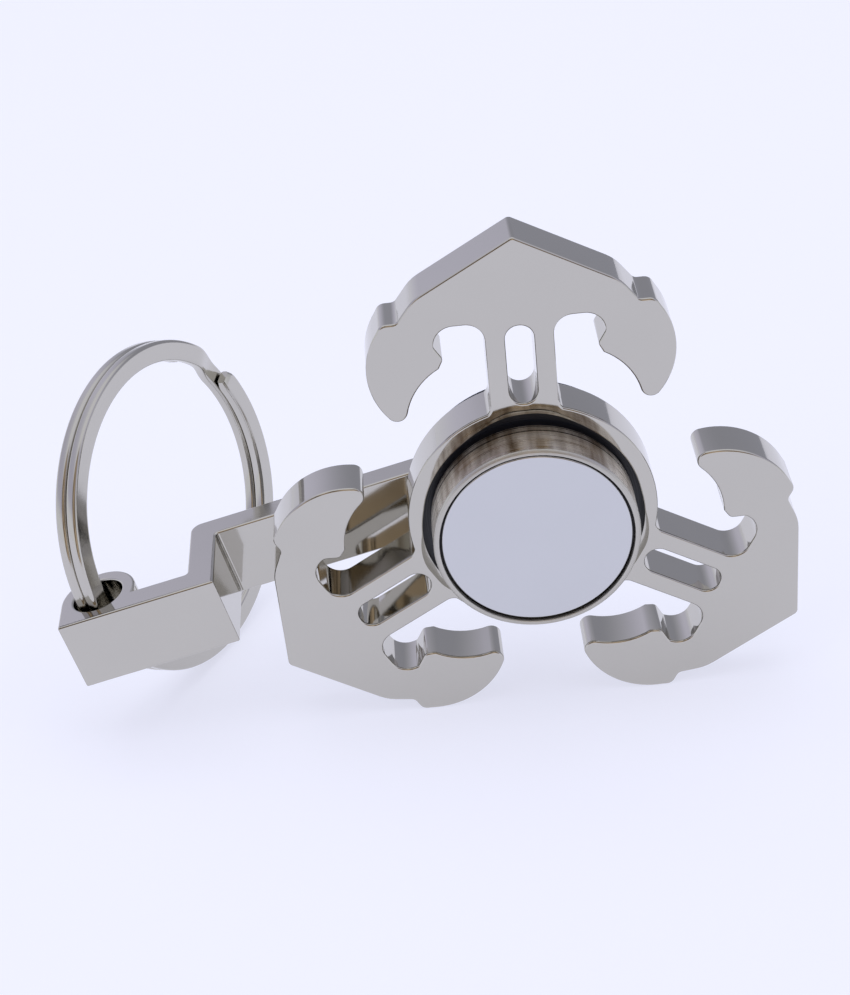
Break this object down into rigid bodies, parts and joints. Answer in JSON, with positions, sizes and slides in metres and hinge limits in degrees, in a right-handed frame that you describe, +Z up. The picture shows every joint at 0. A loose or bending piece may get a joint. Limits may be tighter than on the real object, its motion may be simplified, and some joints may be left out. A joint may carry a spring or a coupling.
{
  "type": "fidget spinner",
  "caption": "Anchor-armed hand spinner turning on a ball bearing in a stepped strap bracket, with a finger cap and a split ring for keys.",
  "frame": {"origin": "centre of the front finger pad (the mirror disc's face), on the spin axis", "axes": "-Y along the spin axis, out of the finger pad towards the user; +Z up, along the top arm at rest; +X to the right, away from the key-ring bracket"},
  "size_m": [0.0627, 0.0316, 0.044],
  "materials": {
    "plated_body": "mirror-polished nickel plating on zinc casting",
    "plated_bracket": "mirror-polished nickel plating",
    "plated_cap": "polished nickel plating with fine turned lines",
    "mirror_plate": "flat mirror plate",
    "ring_steel": "polished nickel-plated spring steel",
    "race_steel": "ground bearing steel",
    "race_black": "black-oxide bearing steel",
    "ball_steel": "polished bearing steel",
    "cage_nylon": "natural nylon",
    "seal_rubber": "matte nitrile rubber",
    "adhesive": "black flexible adhesive",
    "screw_steel": "zinc-plated steel"
  },
  "bodies": {
    "bracket": {"bracket": "plated_bracket", "clamp_screw": "screw_steel", "rear_spacer": "plated_cap", "bearing_inner_race": "race_steel", "front_cap": "plated_cap", "mirror_disc": "mirror_plate", "disc_adhesive": "adhesive"},
    "rotor": {"spinner_body": "plated_body", "bearing_outer_race": "race_black", "bearing_seal_front": "seal_rubber", "bearing_seal_rear": "seal_rubber"},
    "cage": {"bearing_cage": "cage_nylon", "bearing_ball_01": "ball_steel", "bearing_ball_02": "ball_steel", "bearing_ball_03": "ball_steel", "bearing_ball_04": "ball_steel", "bearing_ball_05": "ball_steel", "bearing_ball_06": "ball_steel", "bearing_ball_07": "ball_steel", "bearing_ball_08": "ball_steel", "bearing_ball_09": "ball_steel", "bearing_ball_10": "ball_steel", "bearing_ball_11": "ball_steel"},
    "key_ring": {"split_ring": "ring_steel"}
  },
  "joints": [
    {"name": "rotor_spin", "type": "hinge", "parent": "bracket", "child": "rotor", "pos_m": [0, 0.0061, 0], "axis": [0, -1, 0], "continuous": true},
    {"name": "cage_orbit", "type": "hinge", "parent": "bracket", "child": "cage", "pos_m": [0, 0.007, 0], "axis": [0, -1, 0], "continuous": true},
    {"name": "key_ring_swing", "type": "hinge", "parent": "bracket", "child": "key_ring", "pos_m": [-0.03669, 0.00653, -0.00847], "axis": [-0.225, 0, 0.9744], "range_deg": [-42, 278]}
  ],
  "couplings": [
    {"joint": "cage_orbit", "follows": "rotor_spin", "ratio": 0.5821}
  ]
}
